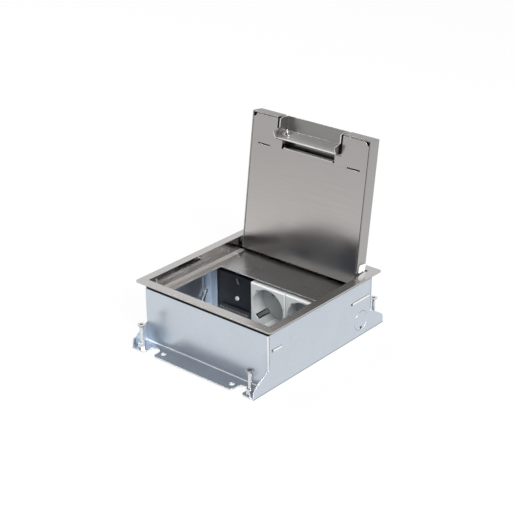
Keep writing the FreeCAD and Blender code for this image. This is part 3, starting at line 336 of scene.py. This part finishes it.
def frame_finish(face):
    """A finish number on the floor frame, whose ledge and skirt have their own grain, and a lighter and a
    darker copy of its steel that paint light and shade.
    """
    height = face.calc_center_median().z / MM
    if face.normal.z > LOOKS_UP and LEDGE_LOW < height < LEDGE_HIGH:
        return 2
    if abs(face.normal.z) < WALL and LEDGE_HIGH < height < SKIRT_HIGH:
        return 3 if abs(face.normal.y) > abs(face.normal.x) else 4
    return 0 if height > SKIRT_HIGH else face.material_index


def cover_finish(face, front):
    """A finish number on a socket cover: front, top, which is painted lighter, or inside a well, which is
    painted darker as shade.
    """
    inside = face.calc_center_median().y > front + RIM_DEPTH * MM and abs(face.normal.z) < TOP
    return 2 if inside else int(face.normal.z > LEANS_UP)


def finish_faces(work, node):
    """Gives the faces the numbers of their finishes: 1 on cut edges, where a lighter finish paints a
    highlight, and the rest where the node has them, which paint light or shade on their faces.
    """
    if len(FINISH[node]) > 2:
        for face in cut_edges(work):
            face.material_index = 1
    front = min(vertex.co.y for vertex in work.verts)
    for face in work.faces:
        if node == "floor_frame":
            face.material_index = frame_finish(face)
        elif node.startswith("socket_cover"):
            face.material_index = cover_finish(face, front)
        elif node == "lid_shell":
            # Up-facing faces of the lid shell get the darker copy: painted shade
            face.material_index = int(face.normal.z > LOOKS_UP)
        elif node == "cord_flap" and face.normal.z > LOOKS_UP:
            # Up-facing faces of the cord flap get the lighter copy: painted light
            face.material_index = 2


def darken_foot(work, level):
    """Gives a wall's lowest band its third finish, a near-black zinc that paints a contact shadow."""
    bmesh.ops.bisect_plane(work, geom=work.verts[:] + work.edges[:] + work.faces[:],
                           plane_co=(0, 0, level), plane_no=(0, 0, 1))
    for face in work.faces:
        if face.calc_center_median().z < level and face.normal.z > UNDERSIDE:
            face.material_index = 2


def dress(node):
    """Replaces a CAD node with a copy that has rounded edges and its finishes."""
    radius, *finishes = FINISH[node]
    work = bmesh.new()
    work.from_mesh(frame["nodes"][node].data)
    bmesh.ops.remove_doubles(work, verts=work.verts, dist=MERGE * MM)
    bmesh.ops.dissolve_limit(work, angle_limit=FLAT, verts=work.verts, edges=work.edges)
    finish_faces(work, node)
    sharp = [edge for edge in work.edges if len(edge.link_faces) == 2 and edge.calc_face_angle(0) > SHARP]
    bmesh.ops.bevel(work, geom=sharp, offset=radius * MM, offset_type="OFFSET", segments=2, profile=0.5,
                    affect="EDGES", clamp_overlap=False, loop_slide=True, material=-1)
    if node in FOOT_SHADOW_BAND:
        darken_foot(work, FOOT_SHADOW_BAND[node] * MM)
    piece = piece_from(f"{node}_dressed", work, finishes, body_of(node))
    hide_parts(node)


def piece_from(name, work, finishes, body, smooth=True):
    """A riding object of a bmesh, with its finishes."""
    mesh = bpy.data.meshes.new(name)
    work.to_mesh(mesh)
    work.free()
    for polygon in mesh.polygons:
        polygon.use_smooth = smooth
    for key in finishes:
        mesh.materials.append(materials[key])
    piece = new_object(name, mesh)
    if smooth:
        weigh = piece.modifiers.new("normals", "WEIGHTED_NORMAL")
        weigh.mode = "FACE_AREA"
        weigh.weight = 100
        apply_modifiers(piece)
    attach(piece, body)
    return piece


def polar(radius, angle, height):
    """A place round the Z axis, in metres, from millimetres."""
    return Vector((radius * MM * math.cos(angle), radius * MM * math.sin(angle), height * MM))


def lathe(work, profile, turn, segments=32, material=0):
    """Turns a profile of (radius, height) millimetres about a matrix's Z axis."""
    rings = [[work.verts.new(turn @ polar(radius, step * math.tau / segments, height))
              for step in range(segments if radius else 1)] for radius, height in profile]
    for low, high in zip(rings, rings[1:]):
        for step in range(segments):
            after = (step + 1) % segments
            corners = [low[step % len(low)], low[after % len(low)],
                       high[after % len(high)], high[step % len(high)]]
            work.faces.new(list(dict.fromkeys(corners))).material_index = material


def block(work, low, high, turn=None, taper=1.0):
    """A box between two corners in millimetres, its lower end scaled by taper."""
    middle = [(a + b) / 2 for a, b in zip(low, high)]
    verts = []
    for z in (low[2], high[2]):
        scale = taper if z == low[2] else 1.0
        for x, y in ((low[0], low[1]), (high[0], low[1]), (high[0], high[1]), (low[0], high[1])):
            place = Vector((middle[0] + (x - middle[0]) * scale, middle[1] + (y - middle[1]) * scale, z)) * MM
            verts.append(work.verts.new(turn @ place if turn else place))
    for corners in ((3, 2, 1, 0), (4, 5, 6, 7), (0, 1, 5, 4), (1, 2, 6, 5), (2, 3, 7, 6), (3, 0, 4, 7)):
        work.faces.new([verts[corner] for corner in corners])
    return verts


def round_all(work, verts, radius, segments):
    """Rounds the sharp edges between the given vertices."""
    chosen = set(verts)
    edges = [edge for edge in work.edges if edge.verts[0] in chosen and edge.verts[1] in chosen
             and len(edge.link_faces) == 2 and edge.calc_face_angle(0) > SHARP]
    bmesh.ops.bevel(work, geom=edges, offset=radius * MM, segments=segments, profile=0.5, affect="EDGES")


def rounded_bar(low, high, radius):
    """A bmesh of one bar between two corners in millimetres, which may be given in either order."""
    work = bmesh.new()
    verts = block(work, *zip(*(sorted(pair) for pair in zip(low, high))))
    bmesh.ops.recalc_face_normals(work, faces=work.faces)
    round_all(work, verts, radius, segments=3)
    return work


def thread(work, turn, radius, depth, pitch, low, high):
    """A helical thread along a matrix's Z axis, in millimetres."""
    segments, steps = 18, 5  # round the shank, and along it for each turn of the thread
    count = int(round((high - low) / pitch)) * steps
    rows = []
    for row in range(count + 1):
        height = low + (high - low) * row / count
        ring = []
        for step in range(segments):
            phase = (row / steps - step / segments) % 1.0
            flank = abs(2 * phase - 1)
            place = polar(radius - depth * flank, step * math.tau / segments, height)
            ring.append(work.verts.new(turn @ place))
        rows.append(ring)
    for under, over in zip(rows, rows[1:]):
        for step in range(segments):
            after = (step + 1) % segments
            work.faces.new((under[step], under[after], over[after], over[step]))
    work.faces.new(rows[0][::-1])
    work.faces.new(rows[-1])


def wire(name, points, radius, finish, body):
    """A round steel wire along points in metres."""
    curve = bpy.data.curves.new(name, "CURVE")
    curve.dimensions = "3D"
    curve.bevel_depth = radius * MM
    curve.bevel_resolution = 3
    curve.use_fill_caps = True
    spline = curve.splines.new("POLY")
    spline.points.add(len(points) - 1)
    for point, place in zip(spline.points, points):
        point.co = (*place, 1)
    holder = new_object(name, curve)
    mesh = bpy.data.meshes.new_from_object(holder)
    bpy.data.objects.remove(holder)
    for polygon in mesh.polygons:
        polygon.use_smooth = True
    mesh.materials.append(materials[finish])
    piece = new_object(name, mesh)
    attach(piece, body)


def carve(piece, work):
    """Takes the closed shape of a bmesh out of a piece."""
    mesh = bpy.data.meshes.new("cutter")
    work.to_mesh(mesh)
    work.free()
    # The cutter's near-black finish passes to the faces it cuts: painted shade in the recess
    mesh.materials.append(materials["recess"])
    cutter = new_object("cutter", mesh)
    modifier = piece.modifiers.new("carve", "BOOLEAN")
    modifier.object = cutter
    modifier.operation = "DIFFERENCE"
    modifier.solver = "EXACT"
    modifier.use_self = True
    modifier.material_mode = "TRANSFER"
    apply_modifiers(piece)
    bpy.data.objects.remove(cutter)


def cross_recess(turn, top, reach, width, depth, taper):
    """The shape of a cross recess: two crossed wedges that stand 1 mm above the top of a screw's head."""
    work = bmesh.new()
    block(work, (-reach, -width, top - depth), (reach, width, top + 1), turn, taper)
    block(work, (-width, -reach, top - depth), (width, reach, top + 1), turn, taper)
    return work


# A levelling screw, in millimetres
HEAD_HEIGHT, HEAD_RADIUS, HEAD_RIM = 3.1, 4.25, 4.1
NECK_TOP, NECK_FOOT, NECK_LENGTH = 1.95, 1.9, 0.9
CROSS = {"reach": 2.5, "width": 0.62, "depth": 2.0, "taper": 0.55}
THREAD = {"radius": 2.0, "depth": 0.13, "pitch": 0.7, "low": 0.0}
THREAD_END = 0.8  # below the head, inside the neck


def levelling_screw(node):
    """A countersunk screw with a rolled thread and a cross recess."""
    low, high = (Vector(corner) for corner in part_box(node))
    place = Matrix.Translation(Vector(((low.x + high.x) / 2, (low.y + high.y) / 2, low.z)))
    top = (high.z - low.z) / MM
    head = top - HEAD_HEIGHT
    neck = [(0, head - NECK_LENGTH), (NECK_FOOT, head - NECK_LENGTH), (NECK_TOP, head)]
    cone = [(4.05, top - 0.45), (HEAD_RADIUS, top - 0.3), (HEAD_RADIUS, top - 0.1), (HEAD_RIM, top), (0, top)]
    work = bmesh.new()
    lathe(work, neck + cone, place)
    piece = piece_from(f"{node}_dressed", work, ["chrome"], body_of(node), smooth=False)
    # The cross recess's faces take the near-black finish: painted shade
    carve(piece, cross_recess(place, top, **CROSS))
    shank = bmesh.new()
    thread(shank, place, **THREAD, high=head - THREAD_END)
    piece_from(f"{node}_thread", shank, ["chrome"], body_of(node))
    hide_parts(node)


def joint(name):
    return next(row for row in frame["record"]["behaviour"]["joints"] if row["name"] == name)


HINGE = Vector(joint("lid_hinge")["pos_m"])
OPENING = Matrix.Rotation(-math.radians(joint("lid_hinge")["range_deg"][1]), 4, "X")
OPEN = Matrix.Translation(HINGE) @ OPENING @ Matrix.Translation(-HINGE)
PIVOT = OPEN.inverted() @ Vector(joint("flap_hinge")["pos_m"]) / MM  # in the closed lid, in millimetres


def swung(x, y, z):
    """A place in the closed lid, in millimetres, on the open lid."""
    return OPEN @ (Vector((x, y, z)) * MM)


def flap_spring():
    """Three turns of wire round the left flap pin, with a leg on the flap and one on the shell."""
    near, far, radius = -39.0, -40.6, 1.75  # the coil's two ends along the pin, and its radius
    turns, steps = 3, 20
    flap_leg, flap_drop = 7.5, 0.6
    shell_leg, shell_drop = 5.5, 1.1
    points = [swung(near, PIVOT.y - flap_leg, PIVOT.z + radius - flap_drop)]
    for step in range(turns * steps + 1):
        angle = math.pi / 2 + step * math.tau / steps
        points.append(swung(near + (far - near) * step / (turns * steps), PIVOT.y + radius * math.cos(angle),
                            PIVOT.z + radius * math.sin(angle)))
    points.append(swung(far, PIVOT.y + shell_leg, PIVOT.z + radius - shell_drop))
    wire("flap_spring", points, 0.3, "bright", "lid")


def flap_rivet():
    """The eyelet, its dark ground, a near-black disc that paints the shade in its hole, and its stem, in
    near-white metal that paints a glint, on the flap's inclined wall.
    """
    face = Vector((-31.4, PIVOT.y - 1.03, PIVOT.z - 5.2))  # its middle on the wall of the closed lid's flap
    outward = Vector((0, -15.9, -5.3)).normalized()
    turn = OPEN @ Matrix.Translation(face * MM) @ outward.to_track_quat("Z", "Y").to_matrix().to_4x4()
    collar = [(1.7, 0.0), (4.1, 0.0), (4.3, 0.2), (4.1, 0.5), (2.6, 0.75), (1.9, 0.7), (1.7, 0.45),
              (1.7, 0.0)]
    ground = [(0, 0.02), (1.7, 0.02), (1.7, 0.1), (0, 0.1)]
    stem = [(0, 0.1), (0.85, 0.1), (0.85, 4.9), (0.6, 5.3), (0, 5.4)]
    work = bmesh.new()
    for material, (profile, segments) in enumerate(((collar, 28), (ground, 20), (stem, 16))):
        lathe(work, profile, turn, segments, material)
    piece_from("flap_eyelet", work, ["bright", "recess", "white_glint"], "flap")


def skirt_catches():
    """Small sprung catches on the skirt near the front corners, in near-white metal that paints a glint."""
    for side, label in ((-1, "left"), (1, "right")):
        work = rounded_bar((side * 76.0, -67.2, 57.8), (side * 76.75, -65.0, 63.0), radius=0.3)
        piece_from(f"skirt_catch_{label}", work, ["white_glint"], "box")


def clip_painted_shades():
    """Black pieces round the earth clips in the wells that paint the shade of the grooves round the clips:
    two sides, a front and the ground behind the clip.
    """
    inner, outer = 2.15, 2.95  # from the clip's middle, in millimetres
    front, step, back = 0.7, 1.5, 17.4  # behind the cover's face
    lining, ground = (19.2, 19.95), (21.0, 21.15)  # from the well's middle
    for number in (1, 2):
        low, high = (Vector(corner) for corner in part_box(f"socket_cover_{number}"))
        middle = Vector(((low.x + high.x) / 2, low.y, (low.z + high.z) / 2))
        work = bmesh.new()
        for angle in (45, 225):
            cosine, sine = math.cos(math.radians(angle)), math.sin(math.radians(angle))
            axes = Matrix(((sine, 0, cosine), (0, 1, 0), (-cosine, 0, sine)))
            turn = Matrix.Translation(middle) @ axes.to_4x4()
            for near, far, deep in ((-outer, -inner, back), (inner, outer, back), (-outer, outer, step)):
                verts = block(work, (near, front, lining[0]), (far, deep, lining[1]), turn)
                round_all(work, verts, radius=0.12, segments=1)
            block(work, (-inner, step, ground[0]), (inner, back, ground[1]), turn)
        bmesh.ops.recalc_face_normals(work, faces=work.faces)
        piece_from(f"clip_painted_shade_{number}", work, ["black"], "box")


def slot_noses():
    """The frame brackets' pressed noses in the wall slots, in near-white metal that paints a glint, each with
    a dark relief mark in front, a near-black disc that paints the shade of a relief hole.
    """
    reach, inside, outside = 1.1, 0.2, 0.4  # from the wall's outer face, in millimetres
    half_height = 1.0
    mark_inside, mark_ahead, mark_drop = 0.1, 0.75, 0.35  # the mark's place from the nose's front end
    mark = [(0, 0), (0.95, 0), (0.95, 0.13), (0, 0.14)]
    places = [vertex.co / MM for vertex in frame["nodes"]["frame_brackets"].data.vertices]
    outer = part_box("side_wall_right")[1][0] / MM
    for side, hand in ((-1, "left"), (1, "right")):
        for end, label in ((-1, "front"), (1, "rear")):
            nose = [place for place in places if place.x * side > outer - reach and place.y * end > 0]
            front, rear = min(place.y for place in nose), max(place.y for place in nose)
            level = (min(place.z for place in nose) + max(place.z for place in nose)) / 2
            work = rounded_bar((side * (outer - inside), front, level - half_height),
                               (side * (outer + outside), rear, level + half_height), radius=0.28)
            middle = Vector((side * (outer - mark_inside), front - mark_ahead, level - mark_drop))
            turn = Matrix.Translation(middle * MM) @ Matrix.Rotation(side * math.pi / 2, 4, "Y")
            lathe(work, mark, turn, 16, material=1)
            name = f"slot_nose_{label}_{hand}"
            piece_from(name, work, ["white_glint", "recess"], "box")


def ledge_rivets():
    """Two flat rivet heads on the ledge beside the left end of the cover plate, in near-white metal that
    paints a glint.
    """
    ledge = 51.78  # just under the ledge's top, in millimetres
    head = [(0, 0), (1.3, 0), (1.3, 0.08), (1.0, 0.22), (0, 0.25)]
    work = bmesh.new()
    for x, y in ((-72.0, 47.0), (-65.0, 44.0)):
        turn = Matrix.Translation(Vector((x * MM, y * MM, ledge * MM)))
        lathe(work, head, turn, 16)
    piece_from("ledge_rivets", work, ["white_glint"], "box")


FLOOR_HALF = 6.0  # metres
FLOOR_COLOR = (0.88, 0.88, 0.88, 1)
FLOOR_WHITE = 0.91  # the plain white's share of the floor in the camera's view and in reflections
FLOOR_FADE = {"start": 0.35, "end": 1.1, "low": 1.0, "high": 0.72}  # strength of its reflection, over metres
SKY_FADE = {"start": 0.34, "end": 0.80, "low": 1.0, "high": 0.26}  # strength of the backdrop, over its rise
SKY_TILT = -0.22  # makes the backdrop brighter behind the object


def make_stage():
    """A floor that shows as plain white and keeps a faint shadow. Its reflection fades with distance."""
    corners = [(x * FLOOR_HALF, y * FLOOR_HALF, 0) for x, y in ((-1, -1), (1, -1), (1, 1), (-1, 1))]
    mesh = bpy.data.meshes.new("floor")
    mesh.from_pydata(corners, [], [(0, 1, 2, 3)])
    floor = new_object("floor", mesh)
    material = bpy.data.materials.new("floor_white")
    mesh.materials.append(material)
    tree = Tree(material)
    tree.nodes.clear()
    rays = tree.node("ShaderNodeLightPath").outputs
    place = tree.node("ShaderNodeNewGeometry").outputs["Position"]
    distance = tree.node("ShaderNodeVectorMath", place, operation="LENGTH").outputs["Value"]
    strength = tree.math("MAXIMUM", tree.remap(distance, **FLOOR_FADE), rays["Is Camera Ray"])
    seen = tree.math("MAXIMUM", rays["Is Camera Ray"], rays["Is Glossy Ray"])
    share = tree.math("MULTIPLY", seen, FLOOR_WHITE)
    paint = tree.node("ShaderNodeBsdfDiffuse", Color=FLOOR_COLOR).outputs[0]
    glow = tree.node("ShaderNodeEmission", Strength=strength).outputs[0]
    tree.node("ShaderNodeOutputMaterial", tree.node("ShaderNodeMixShader", share, paint, glow).outputs[0])


def make_world():
    """A white backdrop all round that grows dimmer overhead, and plain white to the camera."""
    world = bpy.data.worlds.new("studio")
    bpy.context.scene.world = world
    tree = Tree(world)
    tree.nodes.clear()
    direction = tree.node("ShaderNodeTexCoord").outputs["Generated"]
    axes = tree.node("ShaderNodeSeparateXYZ", direction).outputs
    rise = tree.math("MULTIPLY_ADD", axes["Y"], SKY_TILT, axes["Z"])
    camera_ray = tree.node("ShaderNodeLightPath").outputs["Is Camera Ray"]
    strength = tree.math("MAXIMUM", tree.remap(rise, **SKY_FADE, curve="SMOOTHSTEP"), camera_ray)
    backdrop = tree.node("ShaderNodeBackground", Color=(1, 1, 1, 1), Strength=strength).outputs[0]
    tree.node("ShaderNodeOutputWorld", backdrop)


# Each lamp's place and side in metres, and its power in watts
LAMPS = {
    "overhead": ((-1.18, 0.2, 1.6), 0.7, 12),
    "front": ((2.15, -1.05, 1.65), 0.9, 46),
    "above": ((1.15, -0.75, 2.0), 0.8, 11),
    "left": ((-2.0, -0.2, 0.8), 1.2, 5),
    "right": ((1.9, 0.4, 0.9), 1.2, 5),
}
LAMP_AIM = Vector((0, 0, 0.08))


def make_lamp(name, place, side, power):
    data = bpy.data.lights.new(name, "AREA")
    data.shape = "RECTANGLE"
    data.size = data.size_y = side
    data.energy = power
    lamp = new_object(name, data)
    lamp.location = place
    lamp.rotation_euler = (Vector(place) - LAMP_AIM).to_track_quat("Z", "Y").to_euler()


bpy.context.scene.view_settings.view_transform = "Standard"
make_camera()
make_stage()
make_world()
for name, lamp in LAMPS.items():
    make_lamp(name, *lamp)
for node in FINISH:
    dress(node)
for place in ("front_left", "front_right", "rear_left", "rear_right"):
    levelling_screw(f"levelling_screw_{place}")
flap_spring()
flap_rivet()
skirt_catches()
clip_painted_shades()
ledge_rivets()
slot_noses()
